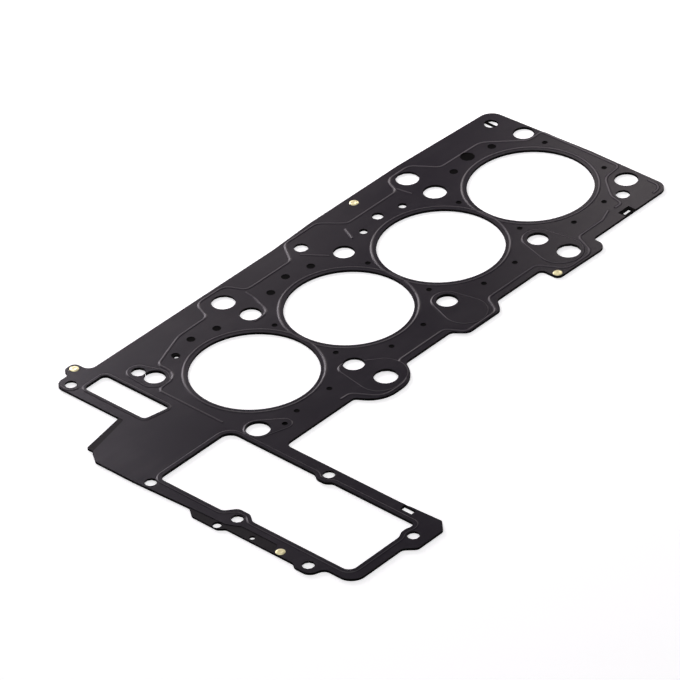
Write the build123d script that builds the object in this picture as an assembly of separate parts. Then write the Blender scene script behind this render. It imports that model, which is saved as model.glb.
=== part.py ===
"""Cylinder head gasket for a four-cylinder engine with its timing case to one side.

An embossed spring-steel sheet lies on a thicker carrier plate, and four brass rivets hold the two together.
X runs along the row of bores, Y across the block and Z up, with bore one on the origin and the carrier's
underside at Z = 0.
"""

import os
from math import atan2, degrees

from build123d import *

# Driving sizes, in millimetres.
bore_count = 4
bore_pitch = 91.0
bore_radius = 43.0
bolt_row = 45.5
bolt_hole_radius = 7.25
dowel_hole_radius = 8.1
oil_hole_radius = 8.0
drain_hole_radius = 4.7
coolant_hole_radius = 2.9
coolant_middle_radii = (2.9, 2.9, 3.9, 4.9)
coolant_row = 51.5
coolant_middle_row = 56.3
coolant_spread = 19.5
vent_hole_radius = 1.9
cover_hole_radius = 3.9
tab_hole_radius = 2.9
small_hole_sides = 10
carrier_hole_sides = 12
wide_hole_sides = 24
bend_piece_count = 4

carrier_thickness = 1.5
sheet_thickness = 0.3
bead_height = 0.4
bead_run = 1.0
bead_reach = 1.4
bore_bead_radius = 46.2
bore_bead_reach = 1.3
bead_seat = 0.1

rivet_shank_radius = 1.9
rivet_head_radius = 3.3
rivet_head_height = 0.45

upper_edge = 84.0
lower_edge = -70.3
near_end = -135.6
far_margin = 56.8
far_end = (bore_count - 1) * bore_pitch + far_margin
frame_foot = -201.0
frame_rim = 2.6
chain_rim = 1.4
carrier_play = 0.3
notch_length = 10.5
notch_depth = 6.4
notch_slot = 3.2
notch_bar = 1.6
frame_notch_width = 4.4
frame_notch_length = 9.5
frame_notch_mouth = 3.4
drain_bar = 1.1

sheet_bottom = carrier_thickness
sheet_top = carrier_thickness + sheet_thickness
above_all = sheet_top + bead_height + 5.0
flank_taper = 90.0 - degrees(atan2(bead_height, bead_run))


def column(number):
    """X of a column of head bolts; column 0 is before bore one."""
    return (number - 0.5) * bore_pitch


def rounded(corners):
    """A face from corners given as (x, y, corner radius)."""
    points = [(x, y) for x, y, _ in corners]
    radii = [radius for _, _, radius in corners]
    return make_face(FilletPolyline(*points, radius=radii, close=True))


def discs(places, radius):
    """A list of discs, one at each (x, y)."""
    return [Pos(x, y) * Circle(radius) for x, y in places]


def punched(places, radius, sides=small_hole_sides):
    """Punched holes, one at each (x, y), with just enough sides to look round at their size."""
    cutter = RegularPolygon(radius, sides, major_radius=False)
    return [Pos(x, y) * cutter for x, y in places]


# Where the holes are.
bores = [(number * bore_pitch, 0.0) for number in range(bore_count)]
dowels = [(column(0), -bolt_row), (column(3), bolt_row), (column(4), -bolt_row)]
bolts = [
    (column(number), side * bolt_row)
    for number in range(bore_count + 1)
    for side in (1, -1)
    if (column(number), side * bolt_row) not in dowels
]
oil_ways = [
    (column(1) - 1.5, 68.5),
    (column(3) + 0.5, 70.7),
    (column(1) + 2.5, -71.0),
    (column(3) + 2.0, -70.7),
]
drains = [
    (column(0) - 2.6, 57.6),
    (column(2) - 14.0, 71.2),
    (column(4) - 15.3, -55.4),
    (column(4) - 5.0, 70.5),
]
cover_holes = [
    (-85.0, 82.6),
    (-129.6, -31.0),
    (-123.4, -100.0),
    (-53.2, -113.5),
    (-67.5, -197.4),
    (-130.8, -166.8),
]
vents = [
    *[(column(number) + 0.2, 24.3) for number in (1, 2, 3)],
    *[(column(number) + 2.2, -27.8) for number in (1, 2, 3)],
    *[(x + side * 15.5, -51.4) for x, _ in bores for side in (-1, 1)],
    (column(4), 26.5),
    (column(4) + 1.3, -25.0),
    (column(0) + 14.6, -55.2),
]
rivet_places = {
    "lug": (-71.4, upper_edge + 8.8),
    "upper_edge": (column(2) + 47.2, upper_edge - 4.8),
    "lower_boss": (column(3) - 21.9, lower_edge - 11.3),
    "case_frame": (-132.0, -144.5),
}
edge_notch = (column(4) - 29.2, lower_edge - 3.5)
frame_notch = (-50.0, -177.3)
tab_holes = [(-135.9, -94.2)]
carrier_vents = [(-19.9, 50.3), (-131.9, -120.5)]


def coolant_holes(bore, middle_radius):
    """Three coolant holes over a bore, on an arc about its centre."""
    x, _ = bore
    sides = punched([(x + side * coolant_spread, coolant_row) for side in (-1, 1)], coolant_hole_radius)
    return sides + punched([(x, coolant_middle_row)], middle_radius)


# Outlines.
sheet_corners = [
    (-92.2, upper_edge + 7.0, 7.0),
    (-79.0, upper_edge + 7.0, 2.5),
    (-76.3, upper_edge + 13.6, 4.5),
    (-66.4, upper_edge + 13.6, 4.5),
    (-66.4, upper_edge, 6.0),
    (column(2) - 28.0, upper_edge, 60.0),
    (column(2) + 10.0, upper_edge + 2.2, 60.0),
    (column(3) + 8.0, upper_edge + 2.2, 60.0),
    (far_end - 4.3, upper_edge - 2.2, 10.0),
    (far_end, -5.0, 60.0),
    (far_end, lower_edge - 3.5, 9.0),
    (column(3) + 23.0, lower_edge - 3.5, 3.0),
    (column(3) + 23.0, lower_edge - 16.0, 7.0),
    (column(3) - 25.5, lower_edge - 15.0, 4.0),
    (column(3) - 25.5, lower_edge, 4.0),
    (column(2) + 21.5, lower_edge, 4.0),
    (column(2) + 14.0, lower_edge - 9.5, 6.0),
    (column(2) - 17.0, lower_edge - 9.5, 6.0),
    (column(2) - 24.5, lower_edge, 5.0),
    (column(1) + 22.5, lower_edge, 4.0),
    (column(1) + 12.5, lower_edge - 16.5, 22.0),
    (column(1) - 17.5, lower_edge - 16.5, 22.0),
    (column(1) - 27.5, lower_edge, 4.0),
    (-46.9, lower_edge, 5.0),
    (-46.9, -168.0, 40.0),
    (-45.2, -201.5, 2.5),
    (-52.0, frame_foot - 7.3, 3.0),
    (-75.5, frame_foot - 7.3, 4.5),
    (-82.0, frame_foot, 5.0),
    (-127.3, frame_foot, 10.5),
    (-127.3, -177.5, 5.5),
    (-137.9, -173.5, 7.0),
    (-137.9, -161.5, 4.0),
    (-135.3, -158.0, 4.0),
    (-135.3, -141.5, 2.0),
    (-127.6, -138.5, 3.0),
    (-127.6, -108.0, 6.0),
    (-132.4, -98.0, 6.0),
    (-133.3, -72.0, 20.0),
    (near_end, -22.0, 40.0),
    (near_end, 11.5, 2.0),
    (-129.4, 20.4, 2.0),
    (-92.2, 28.6, 1.5),
]
step_corners = [
    (-128.4, 15.0, 0.5),
    (-128.4, 26.4, 1.5),
    (-95.0, 32.3, 0.5),
    (-88.0, 34.0, 0.5),
    (-88.0, 15.0, 0.5),
]
tab_corners = [
    (-133.4, -68.0, 0.5),
    (-139.0, -75.5, 4.0),
    (-139.0, -97.0, 3.0),
    (-135.3, -101.5, 3.0),
    (-135.3, -145.0, 0.5),
    (-125.0, -145.0, 0.5),
    (-125.0, -68.0, 0.5),
]
frame_window_corners = [
    (-123.5, -32.0, 5.0),
    (-58.2, -32.0, 8.0),
    (-58.2, -106.0, 5.0),
    (-61.3, -110.5, 5.0),
    (-61.3, -117.0, 5.0),
    (-58.2, -121.5, 5.0),
    (-58.2, -190.6, 3.0),
    (-63.0, -190.6, 3.0),
    (-66.0, -189.6, 3.0),
    (-70.0, -189.6, 4.0),
    (-75.0, -192.0, 6.0),
    (-120.2, -192.0, 6.0),
    (-120.2, -110.0, 5.0),
    (-115.6, -104.0, 6.0),
    (-115.6, -94.0, 6.0),
    (-123.5, -87.5, 5.0),
]
chain_window_corners = [
    (-83.3, 73.3, 3.8),
    (-63.2, 73.3, 4.2),
    (-63.2, 14.6, 3.0),
    (-83.3, 18.8, 3.5),
]

# Pressed forms of the sheet.
main_line = [
    (-54.5, -23.0, 0),
    (-54.5, 34.0, 4.5),
    (-33.9, 34.8, 10.0),
    (-33.9, 53.5, 5.0),
    (-3.0, 64.8, 20.0),
    (column(1) - 20.0, 65.3, 6.0),
    (column(1) - 14.5, 81.0, 8.0),
    (column(1) + 12.0, 80.5, 8.0),
    (column(1) + 18.5, 66.0, 6.0),
    (column(2) - 29.5, 66.0, 6.0),
    (column(2) - 18.5, 82.5, 8.0),
    (column(2) + 13.5, 82.5, 8.0),
    (column(2) + 26.5, 66.0, 6.0),
    (column(3) - 15.5, 66.0, 6.0),
    (column(3) - 9.5, 80.0, 8.0),
    (column(3) + 12.5, 80.0, 8.0),
    (column(3) + 24.5, 62.0, 6.0),
    (column(4) - 27.0, 61.0, 12.0),
    (column(4) - 5.0, 36.7, 8.0),
    (far_end - 2.8, 36.7, 3.0),
    (far_end - 2.4, -32.0, 3.5),
    (column(4) - 8.0, -33.5, 12.0),
    (column(4) - 22.0, -51.0, 12.0),
    (column(4) - 24.0, -62.0, 3.5),
    (column(4) - 31.0, -62.0, 0),
]
lower_line = [
    (column(4) - 36.5, -60.5, 0),
    (column(4) - 47.5, -64.8, 6.0),
    (column(3) + 18.5, -64.8, 6.0),
    (column(3) + 11.0, -83.5, 9.0),
    (column(3) - 14.0, -83.5, 9.0),
    (column(3) - 24.0, -64.5, 6.0),
    (column(2) + 19.0, -64.5, 6.0),
    (column(2) + 11.5, -78.5, 6.0),
    (column(2) - 18.5, -78.5, 6.0),
    (column(2) - 25.5, -65.5, 6.0),
    (column(1) + 20.5, -65.5, 6.0),
    (column(1) + 9.0, -84.6, 12.0),
    (column(1) - 14.0, -84.6, 12.0),
    (column(1) - 25.5, -65.5, 6.0),
    (column(1) - 34.0, -65.0, 0),
]
short_lines = [
    [(column(1) + 16.0, 65.0, 0), (column(1) + 15.0, 56.0, 12.0), (column(1) + 9.0, 37.4, 9.0), (41.0, 37.4, 0)],
    [(column(2) - 20.5, 66.0, 0), (column(2) - 9.5, 50.0, 0)],
    [(column(2) + 20.5, 63.0, 0), (column(2) + 15.5, 52.0, 0)],
    [(column(3) - 13.5, 68.0, 0), (column(3) - 11.5, 56.0, 0)],
    [(far_end - 3.4, -58.0, 0), (far_end - 3.4, lower_edge - 0.2, 6.5), (far_end - 13.0, lower_edge - 0.2, 0)],
    [(-90.5, 87.0, 0), (-92.0, 77.5, 5.0), (-85.0, 76.3, 0)],
]
broad_pads = [
    [(column(1) - 6.0, -46.0, 6.0), (column(1) + 4.0, -67.0, 16.0), (column(1) - 1.0, -69.0, 14.5)],
    [(column(2), -45.5, 10.0), (column(2) - 1.0, -62.5, 14.5)],
    [(column(3) + 0.5, -45.5, 10.5), (column(3) - 0.5, -66.0, 15.0)],
    [(-48.1, 57.6, 7.2), (-46.5, 45.0, 9.8)],
    [(column(0), -bolt_row, 8.9), (column(0) + 14.6, -54.4, 5.0)],
]


def raised(crest):
    """A form pressed up from the sheet: a flat crest with sloping flanks all round it."""
    depth = bead_height + bead_seat
    return extrude(Pos(0, 0, sheet_top + bead_height) * crest, -depth, taper=-flank_taper)


def bent_line(corners):
    """A line through (x, y, corner radius), each rounded corner turned in a few short straights."""
    points = [(x, y, sheet_top) for x, y, _ in corners]
    radii = [radius for _, _, radius in corners[1:-1]]
    smooth = FilletPolyline(*points, radius=radii) if any(radii) else Polyline(*points)
    stops = [smooth @ 0]
    for edge in smooth.edges():
        pieces = 1 if edge.geom_type == GeomType.LINE else bend_piece_count
        stops += [edge @ (step / pieces) for step in range(1, pieces + 1)]
    return Polyline(*stops)


def ridge(corners):
    """A narrow folded bead along a line of (x, y, corner radius)."""
    path = bent_line(corners)
    along = path % 0
    start = Plane(origin=path @ 0, x_dir=Vector(-along.Y, along.X, 0), z_dir=along)
    fold = Polyline((-bead_reach, -bead_seat), (bead_reach, -bead_seat), (0, bead_height), close=True)
    return sweep(start * make_face(fold), path, transition=Transition.RIGHT)


def pad(circles):
    """A broad raised pad round circles given as (x, y, radius)."""
    rims = [(Pos(x, y) * Circle(radius)).edge() for x, y, radius in circles]
    return raised(make_hull(rims))


def bore_bead(x, y):
    """The full bead round one bore."""
    foot = sheet_top - bead_seat
    profile = Polyline(
        (bore_bead_radius - bore_bead_reach, 0, foot),
        (bore_bead_radius, 0, sheet_top + bead_height),
        (bore_bead_radius + bore_bead_reach, 0, foot),
        close=True,
    )
    return Pos(x, y) * revolve(make_face(profile), Axis.Z)


def plan(*corner_lists):
    """One face covering every outline given."""
    patches = [rounded(corners) for corners in corner_lists]
    return Sketch() + patches


def shared_openings():
    """The openings that both layers have at one size."""
    return [
        *discs(bores, bore_radius),
        *punched(rivet_places.values(), rivet_shank_radius),
        rounded(frame_window_corners),
        rounded(chain_window_corners),
    ]


def pierced(layer, faces):
    """The layer with each of the faces cut right through it."""
    return layer - [extrude(Pos(0, 0, -1) * face, above_all) for face in faces]


def pressed_forms():
    """All the beads and pads of the sheet as solids standing on it."""
    forms = [raised(offset(rounded(frame_window_corners), frame_rim))]
    forms += [raised(offset(rounded(chain_window_corners), chain_rim))]
    forms += [ridge(line) for line in (main_line, lower_line, *short_lines)]
    forms += [pad(circles) for circles in broad_pads]
    forms += [bore_bead(x, y) for x, y in bores]
    return forms


def embossed_sheet():
    """The top sheet, pressed and then pierced, with two notches left open to its edge."""
    sheet = extrude(Pos(0, 0, sheet_bottom) * plan(sheet_corners), sheet_thickness)
    sheet = sheet + pressed_forms()
    notch_mouth = Pos(frame_notch[0] + frame_notch_width, frame_notch[1] + frame_notch_mouth)
    openings = shared_openings()
    openings += punched(bolts, bolt_hole_radius, wide_hole_sides)
    openings += punched(dowels, dowel_hole_radius, wide_hole_sides)
    openings += punched(oil_ways, oil_hole_radius, wide_hole_sides)
    openings += punched(drains, drain_hole_radius)
    openings += punched(cover_holes, cover_hole_radius)
    openings += punched(vents, vent_hole_radius)
    for bore, middle_radius in zip(bores, coolant_middle_radii):
        openings += coolant_holes(bore, middle_radius)
    openings += [Pos(*edge_notch) * Rectangle(notch_length, 2 * notch_depth)]
    openings += [Pos(*frame_notch) * Rectangle(frame_notch_width, frame_notch_length)]
    openings += [notch_mouth * Rectangle(2 * frame_notch_width, frame_notch_mouth)]
    return pierced(sheet, openings)


def carrier_plate():
    """The thicker plate under the sheet, with the step and the tab that stand out past it."""
    plate = extrude(plan(sheet_corners, step_corners, tab_corners), carrier_thickness)
    bar_across_far_drain = Pos(*drains[-1]) * Rectangle(drain_bar, 3 * drain_hole_radius)
    notch_slot_middle = Pos(edge_notch[0], edge_notch[1] + notch_bar + notch_slot / 2)
    openings = shared_openings()
    openings += discs(bolts, bolt_hole_radius)
    openings += discs(dowels, dowel_hole_radius)
    openings += punched(oil_ways, oil_hole_radius + carrier_play, carrier_hole_sides)
    openings += punched(drains, drain_hole_radius + carrier_play)
    openings += punched(cover_holes, cover_hole_radius + carrier_play)
    openings += punched(tab_holes, tab_hole_radius)
    # Of the bores, only the third has its coolant holes open through the carrier.
    openings += coolant_holes(bores[2], coolant_middle_radii[2])
    openings += punched(carrier_vents, vent_hole_radius)
    openings += [notch_slot_middle * Rectangle(notch_length - notch_slot, notch_slot)]
    openings += [Pos(*frame_notch) * Rectangle(frame_notch_width, frame_notch_length)]
    return pierced(plate, openings) + extrude(bar_across_far_drain, carrier_thickness)


def rivets():
    """The brass rivets that hold the layers together: a shank through both and a low head on the sheet."""
    shank = extrude(RegularPolygon(rivet_shank_radius, small_hole_sides, major_radius=False), sheet_top)
    head = extrude(RegularPolygon(rivet_head_radius, small_hole_sides, major_radius=False), rivet_head_height)
    rivet = shank + Pos(0, 0, sheet_top) * head
    return Compound([Pos(x, y) * rivet for x, y in rivet_places.values()])


os.makedirs("parts", exist_ok=True)
export_step(embossed_sheet(), "parts/embossed_sheet.step")
export_step(carrier_plate(), "parts/carrier_plate.step")
export_step(rivets(), "parts/rivets.step")
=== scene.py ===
"""Looks for the cylinder head gasket: black coated steel, brass rivets, a white table and studio lamps."""

import math

import bpy
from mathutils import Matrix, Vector


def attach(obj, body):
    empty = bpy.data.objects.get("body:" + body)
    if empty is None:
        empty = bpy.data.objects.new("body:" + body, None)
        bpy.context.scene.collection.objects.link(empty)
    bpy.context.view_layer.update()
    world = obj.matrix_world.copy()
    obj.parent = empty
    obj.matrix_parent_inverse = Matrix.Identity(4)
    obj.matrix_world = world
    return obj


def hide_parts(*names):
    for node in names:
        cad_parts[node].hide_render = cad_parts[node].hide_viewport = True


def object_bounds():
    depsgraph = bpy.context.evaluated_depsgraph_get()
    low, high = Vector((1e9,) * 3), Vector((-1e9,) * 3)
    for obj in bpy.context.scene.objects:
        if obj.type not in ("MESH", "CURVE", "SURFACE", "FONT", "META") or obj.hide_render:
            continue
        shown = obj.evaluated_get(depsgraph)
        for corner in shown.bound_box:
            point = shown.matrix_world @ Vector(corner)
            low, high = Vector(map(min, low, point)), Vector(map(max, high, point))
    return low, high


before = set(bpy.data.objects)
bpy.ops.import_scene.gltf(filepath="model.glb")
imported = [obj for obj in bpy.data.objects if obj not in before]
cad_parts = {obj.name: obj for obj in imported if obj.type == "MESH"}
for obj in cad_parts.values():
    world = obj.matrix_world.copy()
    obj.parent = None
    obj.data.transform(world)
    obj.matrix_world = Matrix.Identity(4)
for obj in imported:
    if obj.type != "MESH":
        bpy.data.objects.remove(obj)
cad_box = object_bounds()

MILLIMETRE = 0.001
SHEET_TOP = 1.8 * MILLIMETRE
# Heights between which a bead's flank turns from coat to a lighter grey painted highlight.
BEAD_SHOULDER = 1.86 * MILLIMETRE
BEAD_CREST = 2.16 * MILLIMETRE
# Along X, where the beads' painted highlight starts to grow and where it is full.
HIGHLIGHT_FROM = 190 * MILLIMETRE
HIGHLIGHT_MOST = 290 * MILLIMETRE
# Along X, where the sheet starts to cover the carrier all over, and how softly; past it the carrier's upper
# face gets painted shade.
CARRIER_SHADED_FROM = -70 * MILLIMETRE
SHADE_FADE = 5 * MILLIMETRE
RIVET_HEAD_RADIUS = 3.3 * MILLIMETRE
RIVET_SHANK_RADIUS = 1.9 * MILLIMETRE
RIVET_RIM_HEIGHT = 0.06 * MILLIMETRE
# Each step of the dome from its rim inwards, as (inset, rise) in millimetres; the last ones sink the dimple.
RIVET_DOME = ((0.3, 0.17), (0.4, 0.13), (0.5, 0.07), (0.7, 0.02), (0.2, -0.05), (0.2, -0.08), (0.3, -0.04))
RIVET_SIDES = 48
# Painted shade darkens the head's rim up to this height.
RIVET_RIM_SHADE_TOP = 2.02 * MILLIMETRE
SMOOTH_UNDER = math.radians(50)
TABLE_SIZE = 40.0
TABLE_GAP = 0.05 * MILLIMETRE
# Points on the gasket that the lamps face.
UPPER_STRIP = (-0.05, 0.06, 0.0)
FAR_CORNER = (0.31, 0.02, 0.0)
MIDDLE = (0.1, -0.04, 0.0)
WHITE = (1.0, 1.0, 1.0)
VIOLET_WHITE = (1.0, 0.93, 1.0)
WARM_WHITE = (1.0, 0.92, 0.90)
RIVET_PLACES = {
    "rivet_lug": (-71.4, 92.8),
    "rivet_upper_edge": (183.7, 79.2),
    "rivet_lower_boss": (205.6, -81.6),
    "rivet_case_frame": (-132.0, -144.5),
}


class Reading:
    """A shader socket whose arithmetic adds Math nodes to its material."""

    def __init__(self, finish, socket):
        self.finish = finish
        self.socket = socket

    def _math(self, operation, *values):
        return self.finish.node("ShaderNodeMath", {"operation": operation}, *values)

    def __add__(self, other):
        return self._math("ADD", self, other)

    def __radd__(self, other):
        return self._math("ADD", other, self)

    def __sub__(self, other):
        return self._math("SUBTRACT", self, other)

    def __rsub__(self, other):
        return self._math("SUBTRACT", other, self)

    def __mul__(self, other):
        return self._math("MULTIPLY", self, other)

    def __rmul__(self, other):
        return self._math("MULTIPLY", other, self)

    def above(self, low, high):
        """0 below low, 1 above high and a smooth rise between."""
        settings = {"interpolation_type": "SMOOTHSTEP"}
        return self.finish.node("ShaderNodeMapRange", settings, self, low, high, 0.0, 1.0, output="Result")


class Finish:
    """A material and the one method that adds nodes to it."""

    def __init__(self, name):
        self.material = bpy.data.materials.new(name)
        self.material.use_nodes = True
        self.tree = self.material.node_tree
        self.tree.nodes.clear()

    def node(self, kind, settings=None, *inputs, output=0, **named):
        node = self.tree.nodes.new(kind)
        for key, value in (settings or {}).items():
            setattr(node, key, value)
        places = [*enumerate(inputs), *((key.replace("_", " "), value) for key, value in named.items())]
        for place, value in places:
            if isinstance(value, Reading):
                self.tree.links.new(value.socket, node.inputs[place])
            elif value is not None:
                node.inputs[place].default_value = value
        return Reading(self, node.outputs[output])

    def blend(self, share, low, high):
        """A colour between two colours."""
        colour_sockets = (None, None, None, None, None)
        return self.node("ShaderNodeMix", {"data_type": "RGBA"}, share, *colour_sockets, low, high, output=2)

    def place(self):
        return self.node("ShaderNodeTexCoord", output="Object")

    def part_of(self, vector, axis):
        return self.node("ShaderNodeSeparateXYZ", None, vector, output=axis)

    def noise(self, scale, detail=2.0, stretch=(1.0, 1.0, 1.0)):
        spot = self.node("ShaderNodeMapping", None, Vector=self.place(), Scale=stretch)
        return self.node("ShaderNodeTexNoise", None, Vector=spot, Scale=scale, Detail=detail)

    def close(self, shader):
        end = self.tree.nodes.new("ShaderNodeOutputMaterial")
        self.tree.links.new(shader.socket, end.inputs["Surface"])
        return self.material


def tint(red, green, blue):
    return (red, green, blue, 1.0)


def coated_steel(name, coat, bead_highlight, wall_shade, roughness, gloss, shaded_from=None):
    """Steel under a thin black rubber coat, duller and with painted shade on its cut edges, and a lighter
    grey painted highlight along the beads.

    The beads at the far end get the most painted highlight. Past shaded_from, along X, another layer lies
    over the upper face, and painted shade keeps that face near black and duller too.
    """
    finish = Finish(name)
    upward = finish.part_of(finish.node("ShaderNodeTexCoord", output="Normal"), "Z")
    height = finish.part_of(finish.place(), "Z")
    level = upward * upward
    # Painted shade: faces that look sideways, the cut walls, get a near-black colour and are duller.
    wall_shade_mask = 1.0 - level.above(0.1, 0.5)
    painted_shade = wall_shade_mask
    # Painted shade on the carrier's upper face where the sheet lies over it.
    if shaded_from is not None:
        shade_under_sheet = finish.part_of(finish.place(), "X").above(shaded_from, shaded_from + SHADE_FADE)
        painted_shade = painted_shade + shade_under_sheet * upward.above(0.3, 0.7)
    # Painted highlight: the upper part of each bead's flanks turns lighter grey.
    flank = 1.0 - level.above(0.91, 0.98)
    bead_highlight_mask = flank * (1.0 - wall_shade_mask) * height.above(BEAD_SHOULDER, BEAD_CREST)
    cloud = finish.noise(20.0, 3.0)
    streaks = finish.noise(160.0, 2.0, (0.12, 1.0, 1.0))
    grain = finish.noise(1700.0)
    # The painted highlight on the beads grows towards the far end, along X.
    highlight_share = 0.5 + finish.part_of(finish.place(), "X").above(HIGHLIGHT_FROM, HIGHLIGHT_MOST) * 0.5
    # Painted highlight on the beads, plus the coat's random tone.
    shade = bead_highlight_mask * highlight_share + (cloud - 0.5) * 0.16 + (streaks - 0.5) * 0.06
    # Painted shade on the walls and on the carrier's face under the sheet goes over everything else.
    colour = finish.blend(painted_shade, finish.blend(shade, coat, bead_highlight), wall_shade)
    dull = roughness + (cloud - 0.5) * 0.10 + (streaks - 0.5) * 0.05 + (grain - 0.5) * 0.10 + painted_shade * 0.4
    bump = finish.node("ShaderNodeBump", None, 0.10, 0.0002, Height=grain, output="Normal")
    shader = finish.node(
        "ShaderNodeBsdfPrincipled",
        None,
        Base_Color=colour,
        Roughness=dull,
        Normal=bump,
        Specular_IOR_Level=gloss,
    )
    return finish.close(shader)


def rivet_brass():
    """Soft pale brass, matted by the press that closed the rivets, with painted shade darkening the rim of
    the head.
    """
    finish = Finish("rivet_brass")
    cloud = finish.noise(700.0, 3.0)
    scuffs = finish.noise(2600.0, 2.0, (0.25, 1.0, 1.0))
    height = finish.part_of(finish.place(), "Z")
    # Painted shade: the head's rim, from the sheet up to the given height, turns near black.
    above_rim_shade = height.above(SHEET_TOP + RIVET_RIM_HEIGHT, RIVET_RIM_SHADE_TOP)
    rim = height.above(SHEET_TOP / 2, SHEET_TOP) * (1.0 - above_rim_shade)
    face = finish.blend(cloud, tint(0.92, 0.82, 0.44), tint(1.0, 0.93, 0.58))
    colour = finish.blend(rim, face, tint(0.05, 0.04, 0.03))
    bump = finish.node("ShaderNodeBump", None, 0.2, 0.0002, Height=scuffs, output="Normal")
    shader = finish.node(
        "ShaderNodeBsdfPrincipled",
        None,
        Base_Color=colour,
        Metallic=0.4,
        Roughness=0.28 + cloud * 0.12 + (scuffs - 0.5) * 0.1,
        Normal=bump,
    )
    return finish.close(shader)


def table_white():
    """A white table, seen brighter than its lamps make it, and clear from below to show the underside."""
    finish = Finish("table_white")
    path = finish.tree.nodes.new("ShaderNodeLightPath")
    seen = (
        Reading(finish, path.outputs["Is Camera Ray"])
        + Reading(finish, path.outputs["Is Glossy Ray"])
        + Reading(finish, path.outputs["Is Transmission Ray"])
    )
    paint = finish.blend(seen, tint(0.86, 0.855, 0.86), tint(0.98, 0.975, 0.98))
    matt = finish.node("ShaderNodeBsdfDiffuse", None, paint)
    glow = finish.node("ShaderNodeEmission", None, tint(1.0, 0.99, 0.995), seen * 0.45)
    top = finish.node("ShaderNodeAddShader", None, matt, glow)
    from_below = finish.node("ShaderNodeNewGeometry", output="Backfacing")
    clear = finish.node("ShaderNodeBsdfTransparent")
    return finish.close(finish.node("ShaderNodeMixShader", None, from_below, top, clear))


def dress(node, material):
    """Gives a CAD node one finish all over."""
    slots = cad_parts[node].data.materials
    slots.clear()
    slots.append(material)


def step_in(inset, rise):
    """Insets the selected end face, then lifts it by rise."""
    bpy.ops.mesh.inset(thickness=inset)
    bpy.ops.transform.translate(value=(0, 0, rise))


def select_end(piece, side):
    """Selects only the end face that looks up (1) or down (-1)."""
    bpy.ops.object.mode_set(mode="OBJECT")
    for polygon in piece.data.polygons:
        polygon.select = polygon.normal.z * side > 0.9
    bpy.ops.object.mode_set(mode="EDIT")


def rivet(name, place, brass):
    """One closed rivet: a shank down through the layers under a low domed head with the press's dimple."""
    bpy.ops.object.select_all(action="DESELECT")
    rim = Vector((place[0] * MILLIMETRE, place[1] * MILLIMETRE, SHEET_TOP + RIVET_RIM_HEIGHT / 2))
    bpy.ops.mesh.primitive_cylinder_add(
        vertices=RIVET_SIDES, radius=RIVET_HEAD_RADIUS, depth=RIVET_RIM_HEIGHT, location=rim
    )
    piece = bpy.context.object
    piece.name = name
    bpy.ops.object.mode_set(mode="EDIT")
    bpy.ops.mesh.select_mode(type="FACE")
    bpy.ops.mesh.select_all(action="DESELECT")
    select_end(piece, 1)
    for inset, rise in RIVET_DOME:
        step_in(inset * MILLIMETRE, rise * MILLIMETRE)
    select_end(piece, -1)
    step_in(RIVET_HEAD_RADIUS - RIVET_SHANK_RADIUS, 0.0)
    bpy.ops.mesh.extrude_region_move(TRANSFORM_OT_translate={"value": (0, 0, -SHEET_TOP)})
    bpy.ops.object.mode_set(mode="OBJECT")
    bpy.ops.object.transform_apply(location=True, rotation=True, scale=True)
    bpy.ops.object.shade_smooth_by_angle(angle=SMOOTH_UNDER)
    piece.data.materials.append(brass)
    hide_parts("rivets")
    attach(piece, "root")


def lay_table():
    bpy.ops.object.select_all(action="DESELECT")
    bpy.ops.mesh.primitive_plane_add(size=TABLE_SIZE, location=(0, 0, cad_box[0][2] - TABLE_GAP))
    table = bpy.context.object
    table.name = "table"
    table.data.materials.append(table_white())


def softbox(name, aim, direction, distance, size, power, colour):
    """A lamp of a width and height that faces its aim from a direction of (azimuth, elevation) in degrees."""
    turn, rise = (math.radians(angle) for angle in direction)
    away = Vector((math.cos(turn) * math.cos(rise), math.sin(turn) * math.cos(rise), math.sin(rise)))
    lamp = bpy.data.lights.new(name, "AREA")
    lamp.shape = "RECTANGLE"
    lamp.size, lamp.size_y = size
    lamp.energy = power
    lamp.color = colour
    holder = bpy.data.objects.new(name, lamp)
    holder.location = Vector(aim) + away * distance
    holder.rotation_euler = away.to_track_quat("Z", "Y").to_euler()
    bpy.context.scene.collection.objects.link(holder)


def studio_air(strength):
    """Faint even light from all round."""
    world = bpy.data.worlds.new("studio_air")
    world.use_nodes = True
    backdrop = world.node_tree.nodes["Background"]
    backdrop.inputs["Color"].default_value = tint(0.9, 0.92, 1.0)
    backdrop.inputs["Strength"].default_value = strength
    bpy.context.scene.world = world


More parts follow.
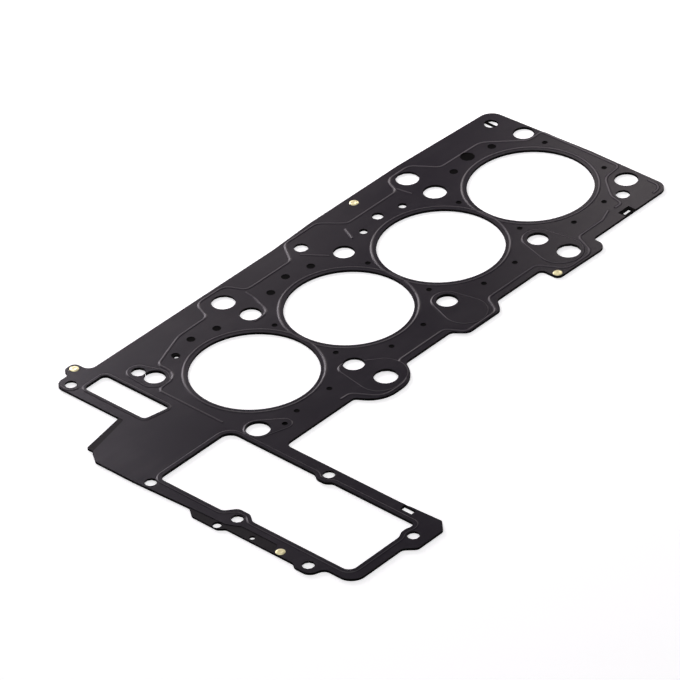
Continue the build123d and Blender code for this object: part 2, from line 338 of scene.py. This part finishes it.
def set_camera(place, turn, lens):
    """A long lens at a place in metres, turned by Euler angles in degrees."""
    camera = bpy.data.cameras.new("camera")
    camera.lens = lens
    camera.sensor_width = 36.0
    camera.clip_end = 100.0
    holder = bpy.data.objects.new("camera", camera)
    holder.location = place
    holder.rotation_euler = [math.radians(angle) for angle in turn]
    bpy.context.scene.collection.objects.link(holder)
    bpy.context.scene.camera = holder


# After the coat: a lighter grey painted highlight for the beads, then a near-black painted shade for the
# walls.
black_coat = coated_steel(
    "black_coat",
    coat=tint(0.014, 0.0105, 0.017),
    bead_highlight=tint(0.15, 0.135, 0.145),
    wall_shade=tint(0.004, 0.0035, 0.004),
    roughness=0.33,
    gloss=0.13,
)
# After the coat: a painted highlight for the beads, then a near-black painted shade for the walls and for the
# upper face under the sheet.
carrier_coat = coated_steel(
    "carrier_coat",
    coat=tint(0.012, 0.010, 0.012),
    bead_highlight=tint(0.10, 0.09, 0.09),
    wall_shade=tint(0.002, 0.0018, 0.0018),
    roughness=0.5,
    gloss=0.06,
    shaded_from=CARRIER_SHADED_FROM,
)
dress("embossed_sheet", black_coat)
dress("carrier_plate", carrier_coat)
brass = rivet_brass()
for rivet_name, rivet_place in RIVET_PLACES.items():
    rivet(rivet_name, rivet_place, brass)

lay_table()
# Two low windows light the plate at its near and far ends, and a third the flanks of the far end's beads.
softbox("left_window", UPPER_STRIP, (67.5, 27.5), 1.0, (0.48, 0.36), 6.0, VIOLET_WHITE)
softbox("right_window", FAR_CORNER, (30.0, 33.0), 0.90, (0.30, 0.30), 1.3, WARM_WHITE)
softbox("bead_window", FAR_CORNER, (76.0, 23.0), 0.50, (0.24, 0.16), 0.45, WARM_WHITE)
softbox("ceiling", MIDDLE, (200.0, 80.0), 2.6, (2.4, 2.4), 28.0, WHITE)
softbox("under_lamp", MIDDLE, (0.0, -90.0), 2.0, (1.6, 1.6), 14.0, WHITE)
studio_air(0.10)
set_camera(place=(-2.2983, -2.3023, 2.3111), turn=(54.82, 2.662, -47.817), lens=327.43)

bpy.context.scene.view_settings.view_transform = "Standard"
